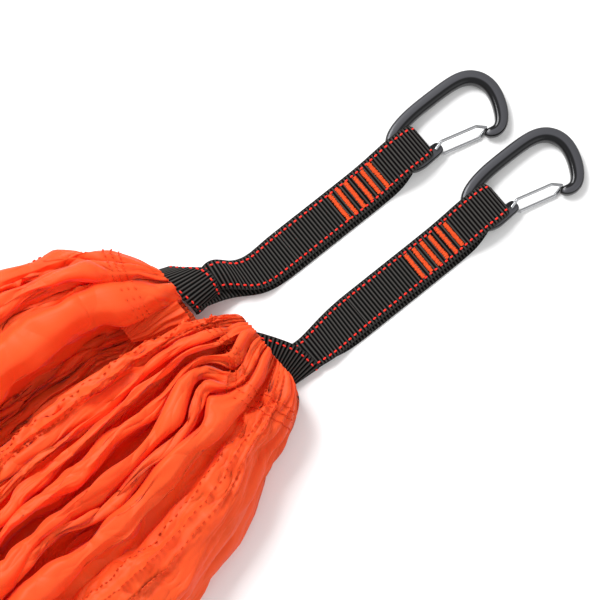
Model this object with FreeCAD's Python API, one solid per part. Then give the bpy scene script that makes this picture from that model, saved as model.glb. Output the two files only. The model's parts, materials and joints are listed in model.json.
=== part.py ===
import FreeCAD, Part

import math
import os

# Camping hammock, folded in half and gathered, lying on a flat surface.
# +X runs along the two suspension straps towards the carabiners, +Z is up.
# The fabric lies as one long U: the near bundle on the -Y side, the far bundle
# on the +Y side, turning round at the -X end. Lengths are in millimetres.

# ---- driving dimensions -------------------------------------------------
FABRIC_LENGTH = 2600.0        # flat length of the hammock body, mouth to mouth
BUNDLE_HALF_WIDTH = 112.0     # middle line of the pair to the outer wall
BUNDLE_HEIGHT = 58.0          # crown of each gathered bundle
VALLEY_HEIGHT = 40.0          # dip where the two bundles meet
BUNDLE_SIDE_HEIGHT = 16.0     # upright foot of the outer wall
CROWN_SHARE = 0.62            # crown's place, as a share of the half width
SHOULDER_SHARE = 0.9          # middle of the crown's outer arc, as a share of the half width
SHOULDER_RISE = 0.83          # and of the bundle's height
INNER_SLOPE_SHARE = 0.45      # middle of the crown's inner arc, as a share of its offset
INNER_SLOPE_RISE = 0.52       # and of the bundle's and valley's heights together
SEAM_OUTER_OFFSET = 76.0      # seam between centre and left panel, from the middle
SEAM_INNER_OFFSET = 36.0      # seam between centre and right panel
SEAM_OUTER_MOUTH = 0.72       # where each seam meets a mouth, as a share of its half width
SEAM_INNER_MOUTH = 0.40
TAPER_LENGTH = 78.0           # how far the gathered ends take to spread
MOUTH_HEIGHT = 42.0           # height of the gathered ends
SHOULDER_HEIGHT = 30.0        # fabric that bulges forward beside each mouth

CHANNEL_WIDTH = 34.0          # bunched width of the end channel, along Y
CHANNEL_DEPTH = 36.0          # end edge to the innermost channel stitching
CHANNEL_BORE_HEIGHT = 24.0    # height of the strap's path through the channel
CHANNEL_NOSE_RADIUS = 12.0    # rounded outer edge of the channel
SHOULDER_LENGTH = 22.0        # bulge beside the mouth, ahead of the panels' front

WEBBING_WIDTH = 25.0
WEBBING_THICKNESS = 1.6
CROSSBAR_DIAMETER = 8.0       # webbing bunched up inside the channel
LEG_WIDTH = 6.0               # webbing edge-on where it leaves the channel
BORE_CLEARANCE = 0.5
LEG_CLEARANCE = 0.5           # between a strap leg and the end of the channel
BAND_START = 58.0             # channel axis to the doubled flat band
BAND_LENGTH = 95.0            # doubled flat band, up to the eye's taper
EYE_WIDTH = 9.0               # webbing drawn in round the carabiner's base
EYE_TAPER = 13.0              # band end to the carabiner's base axis

BAR_TACK_COUNT = 6
BAR_TACK_WIDTH = 2.7
BAR_TACK_LENGTH = 18.0
BAR_TACK_PITCH = 6.1
BAR_TACK_HEIGHT = 0.6
BAR_TACK_END_GAP = 1.5        # last bar tack to the eye's taper
EDGE_ROW_INSET = 2.8          # strap edge to the centre of its stitching
EDGE_ROW_WIDTH = 1.0
EDGE_ROW_HEIGHT = 0.3

SEAM_ROWS = 3
SEAM_ROW_PITCH = 5.0
SEAM_THREAD = 0.8
HEM_WIDTH = 10.0
HEM_THICKNESS = 1.0

ROD_DIAMETER = 8.0            # carabiner body
ROD_CLEARANCE = 0.8           # base rod in the webbing eye
BASE_STRAIGHT = 6.0           # flat run of the carabiner's narrow end
BASE_RADIUS = 6.5
SPINE_SLOPE = 38.0            # degrees, flare of the spine from the base
SPINE_OFFSET = 19.8           # straight part of the spine, from the long axis
SPINE_BEND_RADIUS = 30.0
TOP_RADIUS = 15.5
TOP_CENTRE = 54.0             # base axis to the centre of the wide top bow
BOW_LEAN = 20.0               # degrees, how far the bow's far side leans back to the nose
BOW_SIDE = 19.3               # straight stretch of the bow's far side
NOSE_BEND_RADIUS = 5.0
NOSE_LENGTH = 2.8             # straight stretch behind the ball nose
GATE_WIRE_DIAMETER = 2.0
GATE_HINGE_X = 20.0           # base axis to the gate's hinge
GATE_BOSS_RADIUS = 4.4
GATE_BOSS_THICKNESS = 4.4
GATE_BORE_CLEARANCE = 0.08
GATE_SPREAD = 2.9             # each long leg of the gate, off its middle line
GATE_KINK = 5.0               # length of the sloping stretch at each end
GATE_NOSE_CLEARANCE = 0.4
GATE_SIDE_CLEARANCE = 0.1

# ---- the two ends: strap middle, channel middle and mouth position ------
ENDS = {
    "near": {"strap_y": -37.0, "channel_y": -29.5, "mouth_x": 4.0},
    "far": {"strap_y": 18.5, "channel_y": 31.0, "mouth_x": -8.0},
}

# ---- worked out from the driving dimensions -----------------------------
ROD_RADIUS = ROD_DIAMETER / 2
EYE_BORE_RADIUS = ROD_RADIUS + ROD_CLEARANCE
EYE_RADIUS = EYE_BORE_RADIUS + WEBBING_THICKNESS
BAND_THICKNESS = 2 * WEBBING_THICKNESS
CENTRE_RADIUS = (SEAM_OUTER_OFFSET + SEAM_INNER_OFFSET) / 2
STRAIGHT_LENGTH = (FABRIC_LENGTH - math.pi * CENTRE_RADIUS) / 2
TURN_X = ENDS["near"]["mouth_x"] - STRAIGHT_LENGTH
CROWN_OFFSET = CROWN_SHARE * BUNDLE_HALF_WIDTH
TALL = 3 * BUNDLE_HEIGHT
WIRE_RADIUS = GATE_WIRE_DIAMETER / 2
LEG_REACH = CHANNEL_WIDTH / 2 + LEG_CLEARANCE + LEG_WIDTH


def vec(x, y, z=0.0):
    return FreeCAD.Vector(x, y, z)


def box(low, high):
    """Box between two opposite corners."""
    size = [h - l for l, h in zip(low, high)]
    return Part.makeBox(size[0], size[1], size[2], vec(*low))


def plan_prism(points, low=0.0, high=TALL):
    """Upright prism over a plan outline. A point with three entries marks an arc's middle."""
    return prism([vec(p[0], p[1], low) for p in points], [len(p) == 3 for p in points],
                 vec(0, 0, high - low))


def side_prism(points, y_low, y_high):
    """Prism along Y over an outline of (x, z) points, arcs marked as in plan_prism."""
    return prism([vec(p[0], y_low, p[1]) for p in points], [len(p) == 3 for p in points],
                 vec(0, y_high - y_low, 0))


def outline_face(corners, is_arc_middle):
    """Flat face inside a closed outline of straight lines and three-point arcs."""
    edges = []
    count = len(corners)
    i = 0
    while i < count:
        after = (i + 1) % count
        if is_arc_middle[after]:
            end = (i + 2) % count
            edges.append(Part.Arc(corners[i], corners[after], corners[end]).toShape())
            i += 2
        else:
            edges.append(Part.LineSegment(corners[i], corners[after]).toShape())
            i += 1
    return Part.Face(Part.Wire(edges))


def prism(corners, is_arc_middle, along):
    """Extrude a closed outline."""
    return outline_face(corners, is_arc_middle).extrude(along)


def rod(start, end, radius):
    """Round rod between two points."""
    axis = end - start
    return Part.makeCylinder(radius, axis.Length, start, axis)


def bent_rod(points, radius):
    """Round rod through the points, with a ball at each inner corner."""
    pieces = [rod(a, b, radius) for a, b in zip(points, points[1:])]
    pieces += [Part.makeSphere(radius, p) for p in points[1:-1]]
    return fuse(pieces)


def fuse(shapes):
    if len(shapes) == 1:
        return shapes[0]
    return shapes[0].fuse(shapes[1:]).removeSplitter()


def spaced(count, pitch):
    """Positions of count items, pitch apart, centred on zero."""
    return [(i - (count - 1) / 2) * pitch for i in range(count)]


# ---- fabric body ---------------------------------------------------------
def front_x(end):
    """X of the panels' front face, behind the end channel."""
    return ENDS[end]["mouth_x"] - CHANNEL_DEPTH


def u_region(offset, mouth_share, shoulders=False):
    """Upright prism inside a U-shaped line at the given offset from the middle line.

    mouth_share places the line at the gathered ends: 0 at the pair's middle,
    1 at the outer edge of the channel's legs.
    """
    outline = []
    for end, side in (("near", -1), ("far", 1)):
        x_front = front_x(end)
        legs_edge = side * ENDS[end]["channel_y"] + LEG_REACH + LEG_CLEARANCE
        y_mouth = mouth_share * legs_edge
        if shoulders:
            x_bulge = x_front + SHOULDER_LENGTH
            y_bulge = y_mouth + WEBBING_THICKNESS
            stretch = [
                (x_front, side * y_bulge),
                (x_bulge, side * y_bulge),
                (x_bulge, side * (y_bulge + SHOULDER_LENGTH / 2)),
                (x_front, side * (y_bulge + SHOULDER_LENGTH)),
            ]
        else:
            stretch = [(x_front, side * y_mouth)]
        stretch.append((x_front - TAPER_LENGTH, side * offset))
        stretch.append((TURN_X, side * offset))
        outline.append(stretch)
    near, far = outline
    turn = [(TURN_X - offset, 0.0, "arc")]
    step = [(front_x("far"), 0.0), (front_x("near"), 0.0)]
    return plan_prism(near + turn + far[::-1] + step)


def crown_half_outline():
    """(r, z) outline of one bundle, from the pair's middle line outwards."""
    return [
        (0.0, 0.0),
        (BUNDLE_HALF_WIDTH, 0.0),
        (BUNDLE_HALF_WIDTH, BUNDLE_SIDE_HEIGHT),
        (BUNDLE_HALF_WIDTH * SHOULDER_SHARE, BUNDLE_HEIGHT * SHOULDER_RISE, "arc"),
        (CROWN_OFFSET, BUNDLE_HEIGHT),
        (CROWN_OFFSET * INNER_SLOPE_SHARE,
         (BUNDLE_HEIGHT + VALLEY_HEIGHT) * INNER_SLOPE_RISE, "arc"),
        (0.0, VALLEY_HEIGHT),
    ]


def crowned_envelope():
    """Outer shape of both bundles and of the turn that joins them."""
    outline = crown_half_outline()
    marks = [len(p) == 3 for p in outline]
    x_end = ENDS["near"]["mouth_x"]
    along = vec(x_end - TURN_X, 0, 0)
    halves = []
    for side in (-1, 1):
        corners = [vec(TURN_X, side * p[0], p[1]) for p in outline]
        halves.append(prism(corners, marks, along))
    ring = [vec(TURN_X, p[0], p[1]) for p in outline]
    turn = outline_face(ring, marks).revolve(vec(TURN_X, 0, 0), vec(0, 0, 1), 180)
    return fuse(halves + [turn])


def height_limit():
    """Side view of the fabric, low at the gathered ends and rising to full height."""
    x_back = TURN_X - 2 * BUNDLE_HALF_WIDTH
    x_front = front_x("near")
    x_bulge = x_front + SHOULDER_LENGTH
    outline = [
        (x_back, 0.0),
        (x_bulge, 0.0),
        (x_bulge, SHOULDER_HEIGHT),
        (x_front, MOUTH_HEIGHT),
        (x_front - TAPER_LENGTH, BUNDLE_HEIGHT),
        (x_front - TAPER_LENGTH, TALL),
        (x_back, TALL),
    ]
    return side_prism(outline, -2 * BUNDLE_HALF_WIDTH, 2 * BUNDLE_HALF_WIDTH)


def fabric_regions():
    """Plan regions inside the outer wall and inside each long seam."""
    return (
        u_region(BUNDLE_HALF_WIDTH, 1.0, shoulders=True),
        u_region(SEAM_OUTER_OFFSET, SEAM_OUTER_MOUTH),
        u_region(SEAM_INNER_OFFSET, SEAM_INNER_MOUTH),
    )


def fabric_panels():
    outer, middle, inner = fabric_regions()
    shape = crowned_envelope().common(height_limit()).common(outer)
    whole = shape.removeSplitter()
    return whole, {
        "side_panel_left": whole.cut(middle),
        "centre_panel": whole.common(middle).cut(inner),
        "side_panel_right": whole.common(inner),
    }


def u_strip(offset, width):
    """Narrow U-shaped wall, full height, along the straight bundles and the turn."""
    x_start = front_x("far") - TAPER_LENGTH
    low, high = offset - width / 2, offset + width / 2
    outline = [
        (x_start, -high), (TURN_X, -high), (TURN_X - high, 0.0, "arc"), (TURN_X, high),
        (x_start, high), (x_start, low), (TURN_X, low), (TURN_X - low, 0.0, "arc"),
        (TURN_X, -low), (x_start, -low),
    ]
    return plan_prism(outline)


def seam_threads(whole, offset):
    """Rows of thread on top of the fabric along one long seam."""
    raised = whole.copy()
    raised.translate(vec(0, 0, SEAM_THREAD))
    rows = []
    for shift in spaced(SEAM_ROWS, SEAM_ROW_PITCH):
        strip = u_strip(offset + shift, SEAM_THREAD)
        rows.append(strip.common(raised).cut(whole))
    return rows


def hem_left():
    """Rolled long edge of the left panel, round the foot of the outer wall."""
    low = BUNDLE_SIDE_HEIGHT - HEM_WIDTH
    strip = u_strip(BUNDLE_HALF_WIDTH + HEM_THICKNESS / 2, HEM_THICKNESS)
    x_back = TURN_X - 2 * BUNDLE_HALF_WIDTH
    reach = 2 * BUNDLE_HALF_WIDTH
    return strip.common(box((x_back, -reach, low), (0, reach, BUNDLE_SIDE_HEIGHT)))


def hem_right(whole):
    """Rolled long edge of the right panel, lying in the valley between the bundles."""
    raised = whole.copy()
    raised.translate(vec(0, 0, HEM_THICKNESS))
    return u_strip(HEM_WIDTH, HEM_WIDTH / 2).common(raised).cut(whole)


# ---- end channels --------------------------------------------------------
def channel_axis(end):
    """Point on the strap's hinge line, in the middle of the channel."""
    x = ENDS[end]["mouth_x"] - CHANNEL_NOSE_RADIUS - CROSSBAR_DIAMETER / 2
    return vec(x, ENDS[end]["channel_y"], CHANNEL_BORE_HEIGHT)


def end_channel(end):
    """Folded and stitched fabric sleeve that the strap passes through."""
    x_back, x_mouth = front_x(end), ENDS[end]["mouth_x"]
    r = CHANNEL_NOSE_RADIUS
    k = r * (1 - math.sqrt(0.5))
    outline = [
        (x_back, 0.0), (x_mouth - r, 0.0), (x_mouth - k, k, "arc"), (x_mouth, r),
        (x_mouth, MOUTH_HEIGHT - r), (x_mouth - k, MOUTH_HEIGHT - k, "arc"),
        (x_mouth - r, MOUTH_HEIGHT), (x_back, MOUTH_HEIGHT),
    ]
    y = ENDS[end]["channel_y"]
    sleeve = side_prism(outline, y - CHANNEL_WIDTH / 2, y + CHANNEL_WIDTH / 2)
    centre = channel_axis(end)
    reach = vec(0, CHANNEL_WIDTH, 0)
    bore = rod(centre - reach, centre + reach, CROSSBAR_DIAMETER / 2 + BORE_CLEARANCE)
    return sleeve.cut(bore)


def channel_stitching(end):
    """Three rows across the top of the sleeve, near its inner end."""
    y = ENDS[end]["channel_y"]
    rows = []
    for i in range(SEAM_ROWS):
        x = front_x(end) + HEM_THICKNESS + i * SEAM_ROW_PITCH / 2
        low = (x, y - CHANNEL_WIDTH / 2, MOUTH_HEIGHT)
        high = (x + SEAM_THREAD, y + CHANNEL_WIDTH / 2, MOUTH_HEIGHT + SEAM_THREAD)
        rows.append(box(low, high))
    return rows


# ---- straps ----------------------------------------------------------------
def band_span(end):
    """X of the doubled band's start and end."""
    start = channel_axis(end).x + BAND_START
    return start, start + BAND_LENGTH


def eye_axis(end):
    """Centre of the carabiner's base rod, on the axis it swings about."""
    return vec(band_span(end)[1] + EYE_TAPER, ENDS[end]["strap_y"], EYE_RADIUS)


def strap_plan(end):
    """Plan of the webbing loop: crossbar, two legs, band and narrow eye."""
    axis = channel_axis(end)
    y, half = ENDS[end]["strap_y"], WEBBING_WIDTH / 2
    start, finish = band_span(end)
    eye = eye_axis(end)
    x_bar = axis.x - CROSSBAR_DIAMETER / 2
    x_front = ENDS[end]["mouth_x"] + LEG_WIDTH
    bar = plan_prism([
        (x_bar, axis.y - LEG_REACH), (x_bar + CROSSBAR_DIAMETER, axis.y - LEG_REACH),
        (x_bar + CROSSBAR_DIAMETER, axis.y + LEG_REACH), (x_bar, axis.y + LEG_REACH),
    ])
    pieces = [bar]
    for side in (-1, 1):
        outer = axis.y + side * LEG_REACH
        inner = outer - side * LEG_WIDTH
        edge = y + side * half
        pieces.append(plan_prism([
            (x_bar, inner), (x_bar, outer), (x_front, outer), (start, edge),
            (start, y), (x_front, inner),
        ]))
    pieces.append(plan_prism([
        (start, y - half), (finish, y - half), (eye.x - EYE_BORE_RADIUS, y - EYE_WIDTH / 2),
        (eye.x + EYE_RADIUS, y - EYE_WIDTH / 2), (eye.x + EYE_RADIUS, y + EYE_WIDTH / 2),
        (eye.x - EYE_BORE_RADIUS, y + EYE_WIDTH / 2), (finish, y + half), (start, y + half),
    ]))
    return fuse(pieces)


def strap_side(end):
    """Side view of the loop: down from the channel, flat, then open round the rod."""
    axis, eye = channel_axis(end), eye_axis(end)
    start, finish = band_span(end)
    x_front = ENDS[end]["mouth_x"] + LEG_WIDTH
    half = BAND_THICKNESS / 2
    y_low = min(axis.y - LEG_REACH, eye.y - WEBBING_WIDTH)
    y_high = max(axis.y + LEG_REACH, eye.y + WEBBING_WIDTH)
    run = side_prism([
        (axis.x, axis.z - half), (x_front, axis.z - half), (start, 0.0), (finish, 0.0),
        (eye.x, 0.0), (eye.x, 2 * EYE_RADIUS), (finish, BAND_THICKNESS),
        (start, BAND_THICKNESS), (x_front, axis.z + half), (axis.x, axis.z + half),
    ], y_low, y_high)
    across = [(p, vec(p.x, y_low, p.z), vec(p.x, y_high, p.z)) for p in (axis, eye)]
    bar = rod(across[0][1], across[0][2], CROSSBAR_DIAMETER / 2)
    loop = rod(across[1][1], across[1][2], EYE_RADIUS)
    bore = rod(across[1][1], across[1][2], EYE_BORE_RADIUS)
    return run.fuse([bar, loop]).cut(bore)


def strap(end):
    return strap_side(end).common(strap_plan(end)).removeSplitter()


def bar_tacks(end):
    """Dense stitched bars across the band, next to the eye."""
    y = ENDS[end]["strap_y"]
    last = band_span(end)[1] - BAR_TACK_END_GAP - BAR_TACK_WIDTH
    bars = []
    for i in range(BAR_TACK_COUNT):
        x = last - i * BAR_TACK_PITCH
        low = (x, y - BAR_TACK_LENGTH / 2, BAND_THICKNESS)
        high = (x + BAR_TACK_WIDTH, y + BAR_TACK_LENGTH / 2, BAND_THICKNESS + BAR_TACK_HEIGHT)
        bars.append(box(low, high))
    return bars


def edge_stitching(end):
    """One row of thread along each edge of the band."""
    y, half = ENDS[end]["strap_y"], WEBBING_WIDTH / 2
    start, finish = band_span(end)
    rows = []
    for side in (-1, 1):
        middle = y + side * (half - EDGE_ROW_INSET)
        low = (start, middle - EDGE_ROW_WIDTH / 2, BAND_THICKNESS)
        high = (finish, middle + EDGE_ROW_WIDTH / 2, BAND_THICKNESS + EDGE_ROW_HEIGHT)
        rows.append(box(low, high))
    return rows


# ---- carabiners --------------------------------------------------------
# Drawn flat with the base rod's centre at the origin, the long axis along +X
# and the spine on +Y, then tipped about the base so that the bow meets the floor.
def spine_points():
    """Ends of the straight stretches and middles of the arcs of the body's centreline."""
    slope = math.radians(SPINE_SLOPE)
    half = BASE_STRAIGHT / 2
    leave = vec(BASE_RADIUS * (1 - math.sin(slope)), half + BASE_RADIUS * math.cos(slope))
    y_bend = SPINE_OFFSET - SPINE_BEND_RADIUS * (1 - math.cos(slope))
    x_bend = leave.x + (y_bend - leave.y) / math.tan(slope)
    return leave, vec(x_bend, y_bend), slope


def arc_about(centre, radius, from_deg, to_deg):
    """Arc edge in the flat plane, from one angle to another."""
    points = []
    for angle in (from_deg, (from_deg + to_deg) / 2, to_deg):
        a = math.radians(angle)
        points.append(centre + vec(radius * math.cos(a), radius * math.sin(a)))
    return Part.Arc(*points).toShape(), points[0], points[2]


def body_path():
    """Centreline from the hinge boss round the base, spine and bow to the nose."""
    leave, bend, slope = spine_points()
    half = BASE_STRAIGHT / 2
    lower, low_start, low_end = arc_about(vec(BASE_RADIUS, -half), BASE_RADIUS, 270, 180)
    upper, up_start, up_end = arc_about(vec(BASE_RADIUS, half), BASE_RADIUS, 180,
                                        90 + SPINE_SLOPE)
    turn_centre = vec(bend.x + SPINE_BEND_RADIUS * math.sin(slope),
                      SPINE_OFFSET - SPINE_BEND_RADIUS)
    shoulder, bend_start, bend_end = arc_about(turn_centre, SPINE_BEND_RADIUS,
                                               90 + SPINE_SLOPE, 90)
    bow_centre = vec(TOP_CENTRE, SPINE_OFFSET - TOP_RADIUS)
    bow, bow_start, bow_end = arc_about(bow_centre, TOP_RADIUS, 90, -BOW_LEAN)
    lean = math.radians(BOW_LEAN)
    inwards = vec(-math.cos(lean), math.sin(lean))
    side_end = bow_end + vec(-math.sin(lean), -math.cos(lean)) * BOW_SIDE
    corner, corner_start, corner_end = arc_about(side_end + inwards * NOSE_BEND_RADIUS,
                                                 NOSE_BEND_RADIUS, -BOW_LEAN, -90)
    boss_start = vec(GATE_HINGE_X - GATE_BOSS_RADIUS - WIRE_RADIUS, low_start.y)
    nose = corner_end - vec(NOSE_LENGTH, 0)
    edges = [
        Part.LineSegment(boss_start, low_start).toShape(), lower,
        Part.LineSegment(low_end, up_start).toShape(), upper,
        Part.LineSegment(up_end, bend_start).toShape(), shoulder,
        Part.LineSegment(bend_end, bow_start).toShape(), bow,
        Part.LineSegment(bow_end, corner_start).toShape(), corner,
        Part.LineSegment(corner_end, nose).toShape(),
    ]
    return Part.Wire(edges), boss_start, nose


def gate_hinge():
    return vec(GATE_HINGE_X, -BASE_STRAIGHT / 2 - BASE_RADIUS)


def gate_tip(nose):
    """The gate's end bar, resting behind the nose."""
    gap = ROD_RADIUS + WIRE_RADIUS + GATE_NOSE_CLEARANCE
    return vec(nose.x - gap / 2, nose.y + gap * math.sqrt(0.75))


def body_flat():
    """Forged rod with a flattened, rounded hinge boss and a ball nose."""
    path, start, nose = body_path()
    circle = Part.Circle(start, vec(-1, 0, 0), ROD_RADIUS).toShape()
    bar = path.makePipeShell([Part.Wire([circle])], True, False)
    hinge = gate_hinge()
    half = GATE_BOSS_THICKNESS / 2
    plate = box((start.x - ROD_RADIUS, hinge.y - GATE_BOSS_RADIUS, -half),
                (hinge.x, hinge.y + GATE_BOSS_RADIUS, half))
    round_end = Part.makeCylinder(GATE_BOSS_RADIUS, 2 * half, hinge - vec(0, 0, half))
    body = fuse([bar, Part.makeSphere(ROD_RADIUS, nose), plate, round_end])
    bore = Part.makeCylinder(WIRE_RADIUS + GATE_BORE_CLEARANCE, 4 * half,
                             hinge - vec(0, 0, 2 * half))
    return body.cut(bore)


def gate_flat():
    """Sprung wire loop: two legs from the boss, spread apart, joined at the nose."""
    hinge = gate_hinge()
    tip = gate_tip(body_path()[2])
    along = (tip - hinge).normalize()
    outward = vec(along.y, -along.x)
    level = GATE_BOSS_THICKNESS / 2 + GATE_SIDE_CLEARANCE + WIRE_RADIUS
    legs = []
    for side in (-1, 1):
        up = vec(0, 0, -side * level)
        spread = outward * (side * GATE_SPREAD)
        legs.append([
            hinge + vec(0, 0, -side * WIRE_RADIUS / 2), hinge + up,
            hinge + along * GATE_KINK + spread + up,
            tip - along * GATE_KINK + spread + up, tip + up,
        ])
    return bent_rod(legs[0] + legs[1][::-1], WIRE_RADIUS)


def carabiner_tilt():
    """Degrees the carabiner tips so that its bow rests on the floor."""
    reach = TOP_CENTRE + TOP_RADIUS
    return math.degrees(math.asin((EYE_RADIUS - ROD_RADIUS) / reach))


def placed(shape, end):
    """Tip a flat carabiner piece and move it to its strap's eye."""
    moved = shape.copy()
    moved.rotate(vec(0, 0, 0), vec(0, 1, 0), carabiner_tilt())
    moved.translate(eye_axis(end))
    return moved


# ---- the whole hammock ---------------------------------------------------
def build():
    """Every node's solids, in the working frame."""
    whole, nodes = fabric_panels()
    nodes["seam_thread_left"] = seam_threads(whole, SEAM_OUTER_OFFSET)
    nodes["seam_thread_right"] = seam_threads(whole, SEAM_INNER_OFFSET)
    nodes["side_hem_left"] = hem_left()
    nodes["side_hem_right"] = hem_right(whole)
    body, gate = body_flat(), gate_flat()
    for end in ENDS:
        nodes["end_channel_" + end] = end_channel(end)
        nodes["channel_stitching_" + end] = channel_stitching(end)
        nodes["strap_" + end] = strap(end)
        nodes["bar_tacks_" + end] = bar_tacks(end)
        nodes["edge_stitching_" + end] = edge_stitching(end)
        nodes["carabiner_body_" + end] = placed(body, end)
        nodes["gate_wire_" + end] = placed(gate, end)
    return {name: solids_of(shape) for name, shape in nodes.items()}


def solids_of(shape):
    """All solids of a shape or of a list of shapes."""
    shapes = shape if isinstance(shape, list) else [shape]
    return [solid for s in shapes for solid in s.Solids]


def origin_shift(nodes):
    """Moves the middle of the whole part's underside to the origin."""
    whole = Part.makeCompound([s for solids in nodes.values() for s in solids])
    bounds = whole.optimalBoundingBox(False, False)
    return vec(-bounds.Center.x, -bounds.Center.y, -bounds.ZMin)


def joint_points(shift):
    """Joint and mount positions in the part's own frame, for the record."""
    points = {}
    tilt = FreeCAD.Rotation(vec(0, 1, 0), carabiner_tilt())
    for end in ENDS:
        eye = eye_axis(end) + shift
        bow = vec(TOP_CENTRE + TOP_RADIUS - ROD_RADIUS, SPINE_OFFSET - TOP_RADIUS)
        points[end] = {
            "channel": channel_axis(end) + shift,
            "eye": eye,
            "gate": eye + tilt.multVec(gate_hinge()),
            "gate_axis": tilt.multVec(vec(0, 0, 1)),
            "bow": eye + tilt.multVec(bow),
        }
    return points


def main():
    os.makedirs("parts", exist_ok=True)
    nodes = build()
    shift = origin_shift(nodes)
    for name, solids in nodes.items():
        shape = solids[0] if len(solids) == 1 else Part.makeCompound(solids)
        shape.translate(shift)
        shape.exportStep("parts/" + name + ".step")
        volume = sum(s.Volume for s in solids) / 1000
        print(f"{name}: {len(solids)} solids, {volume:.1f} cm3, valid {shape.isValid()}")
    for end, points in joint_points(shift).items():
        for name, p in points.items():
            print(f"{end} {name}: {p.x:.3f} {p.y:.3f} {p.z:.3f}")


main()
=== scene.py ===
import json
import math

import bmesh
import bpy
import numpy as np
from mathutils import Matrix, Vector


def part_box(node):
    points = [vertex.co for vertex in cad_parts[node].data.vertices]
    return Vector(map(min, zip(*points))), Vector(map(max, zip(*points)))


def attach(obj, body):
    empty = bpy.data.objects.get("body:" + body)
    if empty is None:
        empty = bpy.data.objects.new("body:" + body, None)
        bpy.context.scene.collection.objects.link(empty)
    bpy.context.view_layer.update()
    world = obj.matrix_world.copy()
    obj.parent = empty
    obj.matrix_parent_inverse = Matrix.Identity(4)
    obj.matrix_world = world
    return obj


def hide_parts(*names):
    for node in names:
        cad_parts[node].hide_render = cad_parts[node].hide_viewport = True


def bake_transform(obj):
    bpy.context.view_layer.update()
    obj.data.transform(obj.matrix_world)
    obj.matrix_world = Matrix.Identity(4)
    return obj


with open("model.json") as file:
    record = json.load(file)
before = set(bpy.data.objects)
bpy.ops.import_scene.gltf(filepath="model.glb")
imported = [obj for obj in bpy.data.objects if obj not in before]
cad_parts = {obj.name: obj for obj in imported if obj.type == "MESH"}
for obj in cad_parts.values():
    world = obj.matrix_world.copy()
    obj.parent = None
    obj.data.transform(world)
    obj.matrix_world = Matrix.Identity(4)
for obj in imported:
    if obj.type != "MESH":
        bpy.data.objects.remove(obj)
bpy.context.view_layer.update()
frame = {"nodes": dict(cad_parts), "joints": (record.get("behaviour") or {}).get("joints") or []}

# Camping hammock, folded in half and gathered. Lengths in this script are in
# millimetres from the near mouth's reference point, which is on the floor under the
# gathered end, and metre() turns them into metres in the row frame.
MM = 0.001
JOINTS = {j["name"]: j for j in frame["joints"]}
BORE_BEHIND_MOUTH = 12.0
NEAR_BORE = Vector(JOINTS["strap_lift_near"]["pos_m"])
REFERENCE = np.array([NEAR_BORE.x + BORE_BEHIND_MOUTH * MM, 0.0, 0.0])


def metre(points):
    """Millimetres about the near mouth to metres in the row frame."""
    return np.asarray(points, float) * MM + REFERENCE


def local(point):
    """Metres in the row frame to millimetres about the near mouth."""
    return (np.asarray(point, float) - REFERENCE) / MM


# ---- small mesh and number helpers ---------------------------------------
def smooth(x):
    x = np.clip(x, 0.0, 1.0)
    return x * x * (3 - 2 * x)


def bump(x, middle, width):
    return np.exp(-((x - middle) / width) ** 2)


def wave(x, seed, size=512):
    """Smooth random line, from -1 to 1, one knot per unit of x."""
    table = np.random.RandomState(seed).uniform(-1, 1, size)
    x = np.asarray(x, float)
    i = np.floor(x).astype(int)
    f = smooth(x - i)
    return table[i % size] * (1 - f) + table[(i + 1) % size] * f


def ripple(x, y, seed, size=128, flat=False):
    """Random field, from -1 to 1, one knot per unit of x and y; flat leaves plain facets."""
    table = np.random.RandomState(seed).uniform(-1, 1, (size, size))
    x, y = np.broadcast_arrays(np.asarray(x, float), np.asarray(y, float))
    i, j = np.floor(x).astype(int), np.floor(y).astype(int)
    fx, fy = (x - i, y - j) if flat else (smooth(x - i), smooth(y - j))
    a = table[i % size, j % size] * (1 - fx) + table[(i + 1) % size, j % size] * fx
    b = table[i % size, (j + 1) % size] * (1 - fx) + table[(i + 1) % size, (j + 1) % size] * fx
    return a * (1 - fy) + b * fy


def creased(x, y, seed):
    """Random field with sharp ridge lines, from 0 to 1."""
    return 1 - np.abs(ripple(x, y, seed))


def straight_basis(keys, where):
    """Weights of straight lines drawn from key to key."""
    basis = np.zeros((len(where), keys))
    u = np.clip(np.asarray(where, float), 0, keys - 1 - 1e-9)
    i = np.floor(u).astype(int)
    basis[np.arange(len(u)), i] = 1 - (u - i)
    basis[np.arange(len(u)), i + 1] += u - i
    return basis


def spline_basis(keys, where):
    """Weights of a clamped uniform cubic B-spline with that many keys."""
    padded = np.zeros((len(where), keys + 4))
    u = np.clip(np.asarray(where, float), 0, keys - 1 - 1e-9)
    i = np.floor(u).astype(int)
    f = u - i
    weights = [(1 - f) ** 3 / 6, (3 * f ** 3 - 6 * f ** 2 + 4) / 6,
               (-3 * f ** 3 + 3 * f ** 2 + 3 * f + 1) / 6, f ** 3 / 6]
    for k, w in enumerate(weights):
        padded[np.arange(len(u)), i + k] += w
    basis = padded[:, 1:keys + 1].copy()
    basis[:, 0] += 2 * padded[:, 0]
    basis[:, 1] -= padded[:, 0]
    basis[:, -1] += 2 * padded[:, keys + 1]
    basis[:, -2] -= padded[:, keys + 1]
    return basis


def spline(points, where):
    points = np.asarray(points, float)
    return spline_basis(len(points), where) @ points


def link(mesh_object):
    bpy.context.scene.collection.objects.link(mesh_object)
    return mesh_object


def finished_object(name, mesh, material):
    """The mesh as an object in the scene, shaded smooth, in its material."""
    mesh.shade_smooth()
    mesh.materials.append(material)
    return link(bpy.data.objects.new(name, mesh))


def close_mesh(bm, mesh):
    """Write a bmesh into a mesh with its faces outwards, and free it."""
    bmesh.ops.recalc_face_normals(bm, faces=bm.faces)
    bm.to_mesh(mesh)
    bm.free()


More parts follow.
